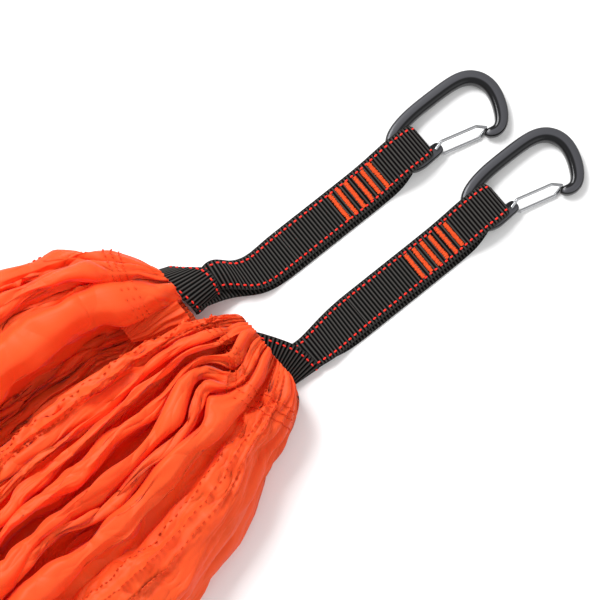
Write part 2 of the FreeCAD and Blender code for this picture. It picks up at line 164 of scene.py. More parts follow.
def grid_mesh(name, points, material, wrap=False, uv=None):
    """Mesh over a rows-by-columns grid of points in millimetres; wrap joins the columns round."""
    rows, cols = points.shape[:2]
    across = cols if wrap else cols - 1
    r, c = np.meshgrid(np.arange(rows - 1), np.arange(across), indexing="ij")
    n = (c + 1) % cols
    quads = np.stack([r * cols + c, r * cols + n, (r + 1) * cols + n, (r + 1) * cols + c], -1)
    mesh = bpy.data.meshes.new(name)
    mesh.from_pydata(metre(points.reshape(-1, 3)).tolist(), [], quads.reshape(-1, 4).tolist())
    if uv is not None:
        layer = mesh.uv_layers.new(name="cloth")
        loops = np.zeros(len(mesh.loops), int)
        mesh.loops.foreach_get("vertex_index", loops)
        layer.data.foreach_set("uv", uv.reshape(-1, 2)[loops].ravel())
    return finished_object(name, mesh, material)


def capped_tube(name, rings, material):
    """Closed tube over rings of points in millimetres, its two ends filled."""
    tube = grid_mesh(name, rings, material, wrap=True)
    bm = bmesh.new()
    bm.from_mesh(tube.data)
    ends = [e for e in bm.edges if e.is_boundary]
    bmesh.ops.holes_fill(bm, edges=ends, sides=0)
    close_mesh(bm, tube.data)
    return tube


def thread_mesh(name, stitches, material):
    """Many short stitches: (middle, along, up, length, width, height) in millimetres.

    Each stitch is a little pillow: a six-sided bar with its ends drawn in.
    """
    sides, profile = 6, [(-0.5, 0.35), (-0.3, 0.95), (0.3, 0.95), (0.5, 0.35)]
    angles = np.arange(sides) * 2 * math.pi / sides + math.pi / sides
    points, faces = [], []
    for middle, along, up, length, width, height in stitches:
        side = np.cross(along, up)
        base = len(points)
        for where, size in profile:
            ring = (middle + along * where * length)[None, :] \
                + np.outer(np.cos(angles) * size * width / 2, side) \
                + np.outer(np.sin(angles) * size * height / 2, up)
            points.extend(ring)
        for k in range(len(profile) - 1):
            for a in range(sides):
                b = (a + 1) % sides
                faces.append((base + k * sides + a, base + k * sides + b,
                              base + (k + 1) * sides + b, base + (k + 1) * sides + a))
        faces.append(tuple(base + a for a in reversed(range(sides))))
        faces.append(tuple(base + (len(profile) - 1) * sides + a for a in range(sides)))
    mesh = bpy.data.meshes.new(name)
    mesh.from_pydata(metre(np.array(points)).tolist(), [], faces)
    bm = bmesh.new()
    bm.from_mesh(mesh)
    close_mesh(bm, mesh)
    return finished_object(name, mesh, material)


def unit(v):
    return v / np.maximum(np.linalg.norm(v, axis=-1, keepdims=True), 1e-9)


def grid_normals(points):
    """Unit normals of a grid, across the columns and along the rows."""
    along = np.gradient(points, axis=0)
    across = np.gradient(points, axis=1)
    return unit(np.cross(across, along))


# ---- materials -------------------------------------------------------------
COLOUR_A, COLOUR_B, COLOUR_RESULT = 6, 7, 2  # a colour Mix node's two inputs, its output


def linear(hex_colour):
    """sRGB hex to the linear RGBA that shaders use."""
    parts = [int(hex_colour[i:i + 2], 16) / 255 for i in (1, 3, 5)]
    return [c / 12.92 if c <= 0.04045 else ((c + 0.055) / 1.055) ** 2.4 for c in parts] + [1.0]


def per_metre(size):
    """Scale of a noise whose grains are that many millimetres across."""
    return 1 / (size * MM)


def new_material(name, values):
    """A material with those values on its shader's own sockets."""
    material = bpy.data.materials.new(name)
    material.use_nodes = True
    tree = material.node_tree
    shader = tree.nodes["Principled BSDF"]
    for socket, value in values.items():
        shader.inputs[socket].default_value = value
    return material, tree, shader


def add(tree, kind, settings=None, links=None):
    """Add a node. settings fill its properties and input values, links feed its inputs."""
    node = tree.nodes.new(kind)
    for key, value in (settings or {}).items():
        if isinstance(key, int) or key in node.inputs:
            node.inputs[key].default_value = value
        else:
            setattr(node, key, value)
    for key, socket in (links or {}).items():
        tree.links.new(socket, node.inputs[key])
    return node


def grain_noise(tree, size, detail):
    """Noise on Object coordinates, its grains that many millimetres across."""
    place = add(tree, "ShaderNodeTexCoord")
    return add(tree, "ShaderNodeTexNoise", {"Scale": per_metre(size), "Detail": detail},
               {"Vector": place.outputs["Object"]}).outputs["Fac"]


def grained(tree, shader, size, detail, strength, depth):
    """That noise as the shader's bump, depth in metres; gives the noise itself too."""
    grain = grain_noise(tree, size, detail)
    bumps = add(tree, "ShaderNodeBump", {"Strength": strength, "Distance": depth},
                {"Height": grain})
    tree.links.new(bumps.outputs["Normal"], shader.inputs["Normal"])
    return grain


def nylon_taffeta():
    """Calendered nylon taffeta: thin, crisp and a little see-through, so folds glow deep red.

    The real threads are 0.1 mm apart, too fine to show, so the weave is drawn at 1 mm.
    """
    material, tree, shader = new_material("calendered_nylon_taffeta", {
        "Roughness": 0.55, "Specular IOR Level": 0.3, "Sheen Weight": 0.12,
        "Sheen Roughness": 0.4})
    cloth = add(tree, "ShaderNodeUVMap", {"uv_map": "cloth"}).outputs["UV"]
    mottle = add(tree, "ShaderNodeTexNoise", {"Scale": per_metre(55.6), "Detail": 3.0},
                 {"Vector": cloth})
    tint = add(tree, "ShaderNodeMix", {"data_type": "RGBA", COLOUR_A: linear("#FF5620"),
                                       COLOUR_B: linear("#FF6A2C")},
               {0: mottle.outputs["Fac"]})
    tree.links.new(tint.outputs[COLOUR_RESULT], shader.inputs["Base Color"])
    sway = add(tree, "ShaderNodeTexNoise", {"Scale": per_metre(45.5), "Detail": 2.0},
               {"Vector": cloth})
    bent = add(tree, "ShaderNodeVectorMath", {"operation": "MULTIPLY_ADD", 1: (0.03, 0.03, 0.0)},
               {0: sway.outputs["Color"], 2: cloth})
    normal = None
    # Crisp creases, large then small: (size across, size along, turn, depth in metres).
    for across, along, turn, depth in ((23.8, 66.7, 0.4, 0.0046), (12.5, 29.4, -0.6, 0.0018)):
        stretch = add(tree, "ShaderNodeMapping", {
            "Scale": (per_metre(across), per_metre(along), 1.0), "Rotation": (0.0, 0.0, turn)},
            {"Vector": bent.outputs["Vector"]})
        facets = add(tree, "ShaderNodeTexNoise", {
            "noise_type": "RIDGED_MULTIFRACTAL", "Scale": 1.0, "Detail": 1.0, "Offset": 1.0,
            "Gain": 1.0}, {"Vector": stretch.outputs["Vector"]})
        crease = add(tree, "ShaderNodeBump", {"Strength": 0.7, "Distance": depth},
                     {"Height": facets.outputs["Fac"]})
        if normal is not None:
            tree.links.new(normal, crease.inputs["Normal"])
        normal = crease.outputs["Normal"]
    wave_scale = math.pi / 10 * per_metre(0.982)  # a wave's period is pi/10 over its scale
    warp, weft = [add(tree, "ShaderNodeTexWave", {"Scale": wave_scale, "bands_direction": way},
                      {"Vector": cloth}).outputs["Fac"] for way in "XY"]
    weave = add(tree, "ShaderNodeMath", {"operation": "ADD"}, {0: warp, 1: weft})
    fine = add(tree, "ShaderNodeBump", {"Strength": 0.12, "Distance": 0.0001},
               {"Height": weave.outputs["Value"], "Normal": normal})
    tree.links.new(fine.outputs["Normal"], shader.inputs["Normal"])
    glow = add(tree, "ShaderNodeBsdfTranslucent", {"Color": linear("#FF180C")},
               {"Normal": normal})
    mix = add(tree, "ShaderNodeMixShader", {0: 0.42}, {1: shader.outputs["BSDF"],
                                                     2: glow.outputs["BSDF"]})
    tree.links.new(mix.outputs["Shader"], tree.nodes["Material Output"].inputs["Surface"])
    return material


def twisted_thread(name, hex_light, hex_dark, roughness):
    """Bonded polyester sewing thread: satin, with a faint light and dark twist."""
    material, tree, shader = new_material(name, {
        "Roughness": roughness, "Specular IOR Level": 0.15})
    twist = grained(tree, shader, 1.111, 2.0, 0.3, 0.0001)
    tint = add(tree, "ShaderNodeMix", {"data_type": "RGBA", COLOUR_A: linear(hex_dark),
                                       COLOUR_B: linear(hex_light)}, {0: twist})
    tree.links.new(tint.outputs[COLOUR_RESULT], shader.inputs["Base Color"])
    return material


def grosgrain_polyester():
    """Ribbed polyester webbing, dyed black: matte and fuzzy, the rib crests painted greyer as a
    painted highlight and the valleys painted near-black as painted shade.
    """
    material, tree, shader = new_material("grosgrain_polyester_webbing", {
        "Roughness": 0.9, "Specular IOR Level": 0.03})
    grained(tree, shader, 0.6667, 3.0, 0.5, 0.0002)
    # The crest mask paints the rib crests grey as a painted highlight and the valleys near-black as
    # painted shade.
    crest = add(tree, "ShaderNodeAttribute", {"attribute_name": "crest"})
    tint = add(tree, "ShaderNodeMix", {"data_type": "RGBA", COLOUR_A: linear("#020202"),
                                       COLOUR_B: linear("#474543")},
               {0: crest.outputs["Fac"]})
    tree.links.new(tint.outputs[COLOUR_RESULT], shader.inputs["Base Color"])
    return material


def anodised_aluminium():
    """Forged and anodised aluminium: near-black glossy walls, the inner wall painted darker as
    painted shade, and a satin top face painted greyer as painted light, with fine marks."""
    material, tree, shader = new_material("dark_anodised_aluminium", {
        "Metallic": 0.35, "Specular IOR Level": 0.25, "Coat Weight": 0.2,
        "Coat Roughness": 0.1})
    grained(tree, shader, 1.4286, 4.0, 0.08, 0.0001)
    # This mask is high where the surface faces up and low on the inner wall: the top is painted
    # lighter as painted light, the inner wall darker as painted shade, and the same mask makes the
    # top satin.
    top = add(tree, "ShaderNodeAttribute", {"attribute_name": "lit_satin_top"})
    lit_satin_share = add(tree, "ShaderNodeMapRange", {"From Min": 0.72, "From Max": 0.9},
               {"Value": top.outputs["Fac"]})
    tint = add(tree, "ShaderNodeMix", {"data_type": "RGBA", COLOUR_A: linear("#101012"),
                                       COLOUR_B: linear("#404044")},
               {0: lit_satin_share.outputs["Result"]})
    tree.links.new(tint.outputs[COLOUR_RESULT], shader.inputs["Base Color"])
    rough = add(tree, "ShaderNodeMapRange", {"To Min": 0.16, "To Max": 0.42},
                {"Value": lit_satin_share.outputs["Result"]})
    tree.links.new(rough.outputs["Result"], shader.inputs["Roughness"])
    return material


def polished_steel():
    """Drawn stainless spring wire, polished: bright, its gloss a little uneven."""
    material, tree, shader = new_material("polished_stainless_wire", {
        "Base Color": linear("#A4A5A7"), "Metallic": 1.0})
    rough = add(tree, "ShaderNodeMapRange", {"To Min": 0.12, "To Max": 0.24},
                {"Value": grain_noise(tree, 1.111, 2.0)})
    tree.links.new(rough.outputs["Result"], shader.inputs["Roughness"])
    return material


def backdrop_paper():
    """Seamless white paper: matte and bright."""
    return new_material("white_backdrop_paper", {
        "Base Color": linear("#F6F6F6"), "Roughness": 0.9, "Specular IOR Level": 0.1})[0]


# ---- the gathered fabric ---------------------------------------------------
MOUTH_X = 4.0
LEFT_LOW, LEFT_HIGH = [local(c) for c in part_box("side_panel_left")]
HALF_WIDTH = (LEFT_HIGH[1] - LEFT_LOW[1]) / 2
TURN_X = LEFT_LOW[0] + HALF_WIDTH
TURN_RADIUS = HALF_WIDTH / 2
STRAIGHT = MOUTH_X - TURN_X
TURN_END = STRAIGHT + math.pi * TURN_RADIUS
CLOTH_LENGTH = 2 * STRAIGHT + math.pi * TURN_RADIUS
FAN_LENGTH = 118.0  # the pleats spread out over this much length
LIP = 6.0  # cloth rolled inwards round the mouth
LIP_RETREAT = 4.0  # how far the lip's rim goes back inside
MOUTH_LEVEL = NEAR_BORE.z / MM * 0.92  # height of the mouths' middles
MOUTH_FLATNESS, LIP_FLATNESS, FLATTENED_LENGTH = 0.46, 0.34, 75.0  # full height this far back
NEAR_END, FAR_END = -1, 1
RIDGES = 6
CRISPNESS, CRISP_FROM = 0.45, 18.0  # 0 for round folds, 1 for knife-edged; from this far back

# Cross-sections, as (distance out from the pair's middle line, height). A section runs
# from the right panel's free edge, under and up over the pleats, down to the left
# panel's free edge under the bundle. Each ridge is (middle, width, height), and each
# valley between ridges is (place, height).
SECTIONS = {
    "near": {
        "right": [(60, 3), (34, 2.5), (8, 3), (5, 6.5), (9, 10), (40, 10.5), (44, 14), (20, 16),
            (4, 20), (-6, 26), (-16, 29), (-22, 34), (-24, 41), (-21, 45), (-17, 46)],
        "ridges": [(-3, 8, 47), (5, 8, 51), (16, 13, 53), (29, 12, 55), (39, 7.5, 53),
            (55, 21, 57)],
        "valleys": [(-10, 38), (1.5, 33), (9.5, 27), (22.5, 24), (35, 21), (44, 20), (67, 34)],
        "band": [(71, 45), (90, 47)],
        "left": [(96, 44), (100, 40), (103, 36), (107, 30), (110, 20), (112, 9), (108, 1.6),
            (80, 1.2), (55, 1.5), (50, 4.5), (56, 7.5), (96, 8), (104, 12), (92, 15), (60, 14)],
    },
    "far": {
        "right": [(60, 3), (34, 2.5), (8, 3), (5, 4.5), (8, 5.5), (36, 6), (38, 7.5), (20, 8),
            (8, 8.5), (4, 9.5), (8, 11), (13, 11.5), (17, 11.5), (19, 11.5), (21, 11.5)],
        "ridges": [(27, 8, 13), (35.5, 7.5, 12.5), (44, 8, 14), (62, 31, 53), (87, 14, 54),
            (101, 14, 45)],
        "valleys": [(22.5, 10), (31, 9.5), (40, 9.5), (48, 10), (79, 38), (94.5, 34), (109, 22)],
        "band": [(111.5, 13), (112, 7)],
        "left": [(111.5, 4.5), (110, 3), (108, 2), (104, 1.4), (98, 1.2), (80, 1.2), (60, 1.5),
            (52, 2), (49, 4.5), (54, 7.5), (80, 8), (94, 10), (92, 14), (75, 14), (60, 14)],
    },
    "middle": {
        "right": [(70, 3), (40, 2.5), (6, 3), (1, 6.5), (6, 10), (60, 10.5), (64, 14), (40, 15.5),
            (7, 16), (1, 22), (-0.5, 32), (3, 39), (10, 42), (16, 42.5), (21, 41.5)],
        "ridges": [(29.5, 9, 48), (39, 9.5, 54), (49, 10, 57), (59, 9.5, 58), (69, 10, 56),
            (78.5, 8.5, 52)],
        "valleys": [(24.5, 22), (34.5, 13), (44, 12), (54, 12), (64, 12), (74, 13), (83.5, 32)],
        "band": [(87, 46), (104, 44)],
        "left": [(107.5, 40), (109.5, 34), (111, 27), (112, 18), (112, 8), (107, 1.6), (85, 1.2),
            (50, 1.5), (46, 4.5), (52, 7.5), (100, 8), (106, 12), (100, 15.5), (70, 15.5),
            (52, 15.5)],
    },
}


def section_keys(section):
    """Key points of a cross-section, with seven for each bulging ridge."""
    keys = list(section["right"])
    for i, (middle, width, top) in enumerate(section["ridges"]):
        low_q, low_z = section["valleys"][i]
        next_z = section["valleys"][i + 1][1]
        keys += [
            (low_q, low_z),
            (middle - 0.34 * width, low_z + 0.4 * (top - low_z)),
            (middle - 0.56 * width, top - 0.45 * width),
            (middle - 0.30 * width, top + 1.5),
            (middle + 0.30 * width, top + 1.5),
            (middle + 0.56 * width, top - 0.45 * width),
            (middle + 0.34 * width, next_z + 0.4 * (top - next_z)),
        ]
    keys.append(section["valleys"][-1])
    keys += section["band"] + section["left"]
    return np.array(keys, float)


KEYS = {name: section_keys(s) for name, s in SECTIONS.items()}
KEY_COUNT = len(KEYS["middle"])
RIDGE_KEYS = 7
SEAM_ROWS = (-7.5, 0.0, 7.5)  # each seam's three rows, off its middle
INNER_SEAM = len(SECTIONS["middle"]["right"]) - 1.0
OUTER_SEAM = INNER_SEAM + RIDGE_KEYS * RIDGES + 2.5
# The grid's rows, from a mouth: fine on the lip, then on the fan, and this many between.
LIP_END, LIP_STEP, FAN_END, FAN_STEP, REST_ROWS = 8.0, 1.2, 232.0, 2.4, 190
COLUMNS = (84, 246, 94)  # across the right, centre and left panels
MOUTH_HOLD, MOUTH_FADE = 150.0, 190.0  # a mouth's section holds this far, then fades out
# How ridges and valleys drift along the cloth: (amount, length, start, seed).
SWAY = ((2.6, 55, 0, 10), (1.6, 17, 0, 110))
SWELL = ((0.2, 45, 0, 50), (0.14, 14, 0, 130))
LIFT, LIFT_LIMIT = ((3.2, 70, 5, 30),), 2.0
SINK = ((9.0, 48, 0, 70),)
TILT = ((2.2, 40, 0, 90),)
# Bulges and hollows of the outer fold: (amount, distance from the mouth, spread).
FAR_BULGES = ((-3.0, 96, 18),)
NEAR_BULGES = ((6.0, 86, 12), (-3.0, 60, 9))
BULGE_LIMIT, BULGE_FROM, BULGE_FADE = 5.0, 66.0, 40.0
# Wrinkles: (height, size along the cloth, size across it).
LONG_FOLDS, CROSS_FOLDS, SKEW_FOLDS = (3.0, 75, 14), (2.0, 30, 27), (3.2, 60, 40)
FACETS, SMALL_FACETS, GATHERS = (2.9, 24, 17), (1.5, 12, 9), (1.3, 22, 1.7)
WRINKLE_FADE = 12.0  # wrinkles rise from nothing over this length
SEAM_HALF, SEAM_FADE = 9.5, 3.5  # half width of a puckered band, and its soft edge
PUFF, COCKLE, ROW_DENT = 1.2, 3.0, 1.5  # a band's rise, its puckers, the dents of its rows
CHANNEL_MIDDLE, CHANNEL_SPREAD, CHANNEL_RIPPLE = 36.5, 7.0, 0.5
CHANNEL_ROWS = (32.0, 36.8, 41.6)  # the channel's three rows, back from the mouth
CHANNEL_MARGIN = 60  # columns at each free edge without a channel row
SWIRL_MIDDLE = (-27.0, -22.0)
SWIRL_TURN, SWIRL_REACH = -1.1, 17.0
SWIRL_FROM, SWIRL_RISE = 12.0, 20.0  # the curl starts at this height and grows over this
SWIRL_GATHERS = (1.5, 1.1, 12.0, 9.0)  # height, size, and the ring that they fill
FLOOR_GAP = 0.4
# Stitches: (pitch, length, thickness).
SEAM_STITCH, CHANNEL_STITCH = (3.1, 2.1, 0.75), (2.4, 1.8, 0.85)
HEM_COLUMNS, HEM_HALF = 7, 0.6
THROAT = ((0.0, 1.0), (-4.0, 0.93), (-12.0, 0.72), (-24.0, 0.6), (-34.0, 0.3))
THROAT_SIDES, THROAT_HEIGHT, THROAT_INSET, THROAT_BACK = 120, 9.0, 3.0, 3.5


def row_places():
    """Places of the grid's rows along the cloth: close together by the mouths."""
    start = np.concatenate([np.arange(0, LIP_END, LIP_STEP), np.arange(LIP_END, FAN_END, FAN_STEP)])
    rest = np.linspace(FAN_END, CLOTH_LENGTH - FAN_END, REST_ROWS)
    return np.concatenate([start, rest, CLOTH_LENGTH - start[::-1]])


def column_places():
    """Places of the grid's columns among the section's keys, the panels' seams shared."""
    edges = (0, INNER_SEAM, OUTER_SEAM, KEY_COUNT - 1)
    right, centre, left = [np.linspace(edges[k], edges[k + 1], COLUMNS[k]) for k in range(3)]
    return np.concatenate([right, centre[1:], left[1:]])


def drift(s, ridge, terms):
    """A ridge's own smooth random line along the cloth, summed from its terms."""
    return sum(amount * wave(s / length + start, seed + ridge)
               for amount, length, start, seed in terms)


def keys_along(s):
    """Key points at every row: the mouths' own sections, then the middle's, with drift."""
    from_near, from_far = s, CLOTH_LENGTH - s
    near_share = (1 - smooth((from_near - MOUTH_HOLD) / MOUTH_FADE))[:, None, None]
    far_share = (1 - smooth((from_far - MOUTH_HOLD) / MOUTH_FADE))[:, None, None]
    keys = KEYS["near"] * near_share + KEYS["far"] * far_share \
        + KEYS["middle"] * (1 - near_share - far_share)
    first, last = int(INNER_SEAM) + 1, int(OUTER_SEAM)
    calm = smooth(np.minimum(from_near, from_far) / 40)
    for i in range(RIDGES):
        at = first + RIDGE_KEYS * i
        swell = 1 + drift(s, i, SWELL) * calm
        ridge = keys[:, at + 1:at + RIDGE_KEYS, 0]
        middle = ridge.mean(axis=1, keepdims=True)
        sway = drift(s, i, SWAY) * calm
        keys[:, at + 1:at + RIDGE_KEYS, 0] = middle + (ridge - middle) * swell[:, None] \
            + sway[:, None]
        keys[:, at + 3:at + 5, 1] += np.minimum(drift(s, i, LIFT) * calm, LIFT_LIMIT)[:, None]
        keys[:, at, 1] += drift(s, i, SINK) * calm
        tilt = drift(s, i, TILT) * calm
        keys[:, at + 3, 1] += tilt
        keys[:, at + 4, 1] -= tilt
    outer = np.arange(last, KEY_COUNT)
    scallop = 2.0 * wave(s / 36, 7) * smooth((from_near - 110) / 40)
    for away, bulges in ((from_far, FAR_BULGES), (from_near, NEAR_BULGES)):
        for amount, place, spread in bulges:
            scallop = scallop + amount * bump(away, place, spread)
    keys[:, outer, 0] += np.minimum(scallop, BULGE_LIMIT)[:, None] \
        * smooth((keys[:, outer, 0] - BULGE_FROM) / BULGE_FADE)
    return keys


# How each mouth fans its pleats out. inner and outer are the lip's two ends (Y) and lip_x its
# X. The pleats leave it turned off -X by inner_turn to outer_turn degrees, and hold that for
# inner_reach to outer_reach. lag holds the outer pleats back. low and high are the section's
# own span, out from the pair's middle line.
FANS = {
    NEAR_END: {"inner": -1.0, "outer": -47.0, "lip_x": 7.0, "inner_turn": 52.0,
               "outer_turn": 80.0, "inner_reach": 20.0, "outer_reach": 28.0, "lag": 27.0,
               "low": -24.0, "high": 112.0},
    FAR_END: {"inner": 13.0, "outer": 52.0, "lip_x": -13.0, "inner_turn": 40.0,
              "outer_turn": 76.0, "inner_reach": 33.0, "outer_reach": 36.0, "lag": 0.0,
              "low": 3.0, "high": 112.0},
}


def fan_out(s, q, side):
    """Plan position of cloth near a mouth: pleats radiate from the lip, then run along -X."""
    fan = FANS[side]
    share = np.clip((q - fan["low"]) / (fan["high"] - fan["low"]), 0, 1)
    start_y = fan["inner"] + (fan["outer"] - fan["inner"]) * share
    turn = np.radians(-fan["inner_turn"] + (fan["inner_turn"] + fan["outer_turn"]) * share)
    reach = fan["inner_reach"] + (fan["outer_reach"] - fan["inner_reach"]) * share
    p0 = np.stack([np.full_like(q, fan["lip_x"]), start_y], -1)
    p1 = p0 + reach[:, None] * np.stack([-np.cos(turn), side * np.sin(turn)], -1)
    end_x = MOUTH_X - FAN_LENGTH
    p2 = np.stack([np.full_like(q, end_x * 0.5), side * (q - fan["lag"] * share ** 3)], -1)
    p3 = np.stack([np.full_like(q, end_x), side * q], -1)
    t = np.clip((s - LIP) / (FAN_LENGTH - LIP), 0, 1)[..., None]
    return (1 - t) ** 3 * p0 + 3 * t * (1 - t) ** 2 * p1 + 3 * t ** 2 * (1 - t) * p2 + t ** 3 * p3


def place_cloth(s, q, z):
    """(distance along, distance out, height) to X, Y, Z, through the fan and the turn."""
    x, y = np.empty_like(q), np.empty_like(q)
    near, far = s <= STRAIGHT, s >= TURN_END
    turning = ~(near | far)
    x[near], y[near] = MOUTH_X - s[near], -q[near]
    x[far], y[far] = TURN_X + s[far] - TURN_END, q[far]
    angle = (s[turning] - STRAIGHT) / TURN_RADIUS
    x[turning] = TURN_X - q[turning] * np.sin(angle)
    y[turning] = -q[turning] * np.cos(angle)
    for side, reach in ((NEAR_END, s), (FAR_END, CLOTH_LENGTH - s)):
        fanned = reach < FAN_LENGTH
        plan = fan_out(reach[fanned], q[fanned], side)
        x[fanned], y[fanned] = plan[:, 0], plan[:, 1]
        lip = np.clip(1 - reach / LIP, 0, 1) ** 2
        squeeze = MOUTH_FLATNESS + (1 - MOUTH_FLATNESS) * smooth(reach / FLATTENED_LENGTH) \
            - LIP_FLATNESS * lip
        x -= LIP_RETREAT * lip
        z = MOUTH_LEVEL + (z - MOUTH_LEVEL) * squeeze
    return np.stack([x, y, z], -1)


def cloth_wrinkles(s, width, from_mouth):
    """Height of wrinkles off the smooth pleats: creased folds, small facets, mouth gathers."""
    lean = 0.6 * ripple(s / 50, width / 34, 5)
    high, along, across = LONG_FOLDS
    folds = high * (creased(width / across + lean, s / along, 1) ** 2 - 0.4)
    high, along, across = CROSS_FOLDS
    folds = folds + high * (creased(s / along + width / 42, width / across - lean, 2) ** 4 - 0.2)
    high, along, across = SKEW_FOLDS
    folds = folds + high * (creased(s / along - width / 24, width / across + s / 130 + lean, 8) ** 3
                            - 0.25)
    high, along, across = FACETS
    small = high * ripple(s / along + width / 33 + lean, width / across - s / 70, 31, flat=True)
    high, along, across = SMALL_FACETS
    small = small + high * ripple(s / along - width / 19, width / across + s / 25 + lean, 32,
                                  flat=True)
    high, along, across = GATHERS
    gathers = high * np.cos(width / across + 2.5 * ripple(s / along, width / 25, 4)) \
        * (1 - smooth((from_mouth - 12) / 42))
    spread = 0.4 + 0.6 * smooth((from_mouth - 5) / 60)
    return (folds + small) * spread + gathers


def seam_pucker(s, off):
    """Puckers across a seam band, off being the distance from its middle in millimetres."""
    inside = 1 - smooth((np.abs(off) - SEAM_HALF) / SEAM_FADE)
    rows = sum(bump(off, r, 1.0) for r in SEAM_ROWS)
    cockle = ripple(s / 4.2 + 0.2 * off, off / 6.0, 21, flat=True) \
        + 0.7 * ripple(s / 3.0, off / 4, 22, flat=True)
    return inside * (PUFF + COCKLE * cockle - ROW_DENT * rows)


def swirl(points):
    """Curl the pleats round a point beside the near mouth, where the cloth bunches up."""
    off = points[..., :2] - SWIRL_MIDDLE
    distance, height = np.linalg.norm(off, axis=-1), points[..., 2]
    turn = SWIRL_TURN * np.exp(-(distance / SWIRL_REACH) ** 2) \
        * smooth((height - SWIRL_FROM) / SWIRL_RISE)
    cos, sin = np.cos(turn), np.sin(turn)
    curled = points.copy()
    curled[..., 0] = SWIRL_MIDDLE[0] + off[..., 0] * cos - off[..., 1] * sin
    curled[..., 1] = SWIRL_MIDDLE[1] + off[..., 0] * sin + off[..., 1] * cos
    rise, size, ring, spread = SWIRL_GATHERS
    curled[..., 2] += rise * np.cos(distance / size) * bump(distance, ring, spread) \
        * (height > SWIRL_RISE)
    return curled


def cloth_surface():
    """The whole cloth as one grid: row places, column places, arc widths, points, normals."""
    s, columns = row_places(), column_places()
    crisp = (CRISPNESS * smooth(np.minimum(s, CLOTH_LENGTH - s) / CRISP_FROM))[:, None, None]
    keys = keys_along(s)
    section = crisp * np.einsum("ck,rkd->rcd", straight_basis(KEY_COUNT, columns), keys) \
        + (1 - crisp) * np.einsum("ck,rkd->rcd", spline_basis(KEY_COUNT, columns), keys)
    straight_row = len(s) // 2 - 60  # a plain row, clear of the mouths and the turn
    steps = np.linalg.norm(np.diff(section[straight_row], axis=0), axis=1)
    width = np.concatenate([[0], np.cumsum(steps)])
    s_grid = np.repeat(s[:, None], len(columns), axis=1)
    width_grid = np.repeat(width[None, :], len(s), axis=0)
    points = place_cloth(s_grid, section[..., 0].copy(), section[..., 1].copy())
    normals = grid_normals(points)
    from_mouth = np.minimum(s_grid, CLOTH_LENGTH - s_grid)
    height = cloth_wrinkles(s_grid, width_grid, from_mouth)
    for seam in (INNER_SEAM, OUTER_SEAM):
        at = width[np.argmin(np.abs(columns - seam))]
        near_seam = 1 - smooth((np.abs(width_grid - at) - 8) / 5)
        calm = smooth((from_mouth - 14) / 20)
        calm = calm * (1 - 0.9 * smooth((s_grid - CLOTH_LENGTH / 2) / 100))
        height = height * (1 - 0.8 * near_seam) + calm * seam_pucker(s_grid, width_grid - at)
    channel = bump(from_mouth, CHANNEL_MIDDLE, CHANNEL_SPREAD) * CHANNEL_RIPPLE
    height = height + channel * ripple(width_grid / 3.5, s_grid / 6, 23)
    points = points + normals * (height * smooth(from_mouth / WRINKLE_FADE))[..., None]
    points = swirl(points)
    floor = FLOOR_GAP + FLOOR_GAP * np.abs(ripple(s_grid / 9, width_grid / 9, 6))
    points[..., 2] = np.maximum(points[..., 2], floor)
    return s, columns, width, points, grid_normals(points)


def finish_piece(piece, node, body="hammock"):
    """The piece stands in for a node, and moves with a body."""
    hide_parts(node)
    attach(piece, body)


def panel(name, grid, low, high, material):
    """One of the cloth's three panels, from one column place to another."""
    s, columns, width, points, _ = grid
    chosen = (columns >= low - 1e-6) & (columns <= high + 1e-6)
    uv = np.stack(np.meshgrid(width[chosen] * MM, s * MM), -1)
    piece = grid_mesh(name, points[:, chosen], material, uv=uv)
    finish_piece(piece, name)


def stitch_line(line, normals, positions, start, finish, stitch, ahead):
    """Stitches along one line of the cloth, each aimed at the line a little way ahead."""
    pitch, length, thickness = stitch
    places = np.arange(start, finish, pitch)
    up = np.where(normals[:, 2:] < 0, -normals, normals)

    def at(values, where):
        return np.stack([np.interp(where, positions, values[:, k]) for k in range(3)], -1)
    middle, lift = at(line, places), unit(at(up, places))
    along = unit(at(line, places + ahead) - middle)
    return [(m + u * thickness * 0.5, a, u, length, thickness, thickness)
            for m, a, u in zip(middle, along, lift)]


def seam_rows(name, grid, seam, material):
    """A seam's three rows of thread, from one channel to the other."""
    s, columns, width, points, normals = grid
    at = width[np.argmin(np.abs(columns - seam))]
    stitches = []
    for row in SEAM_ROWS:
        c = np.argmin(np.abs(width - (at + row)))
        stitches += stitch_line(points[:, c], normals[:, c], s, 14, CLOTH_LENGTH - 14,
                                SEAM_STITCH, 1.0)
    finish_piece(thread_mesh(name, stitches, material), name)


def channel_rows(end, side, grid, material):
    """The three rows of thread that close an end channel, across the whole gathered cloth."""
    s, _, width, points, normals = grid
    stitches = []
    for back in CHANNEL_ROWS:
        place = back if side == NEAR_END else CLOTH_LENGTH - back
        r = np.argmin(np.abs(s - place))
        stitches += stitch_line(points[r], normals[r], width, width[CHANNEL_MARGIN],
                                width[-CHANNEL_MARGIN], CHANNEL_STITCH, 0.6)
    name = "channel_stitching_" + end
    finish_piece(thread_mesh(name, stitches, material), name)


def rolled_hem(name, grid, free_edge_first, material):
    """The panel's free edge, turned over twice: a flat tube round the last of the cloth."""
    points, normals = grid[3], grid[4]
    order = slice(None, HEM_COLUMNS) if free_edge_first else slice(None, -HEM_COLUMNS - 1, -1)
    strip, lift = points[::2, order], normals[::2, order]
    upper, lower = strip + lift * HEM_HALF, (strip - lift * HEM_HALF)[:, ::-1]
    piece = capped_tube(name, np.concatenate([upper, lower], axis=1), material)
    finish_piece(piece, name)


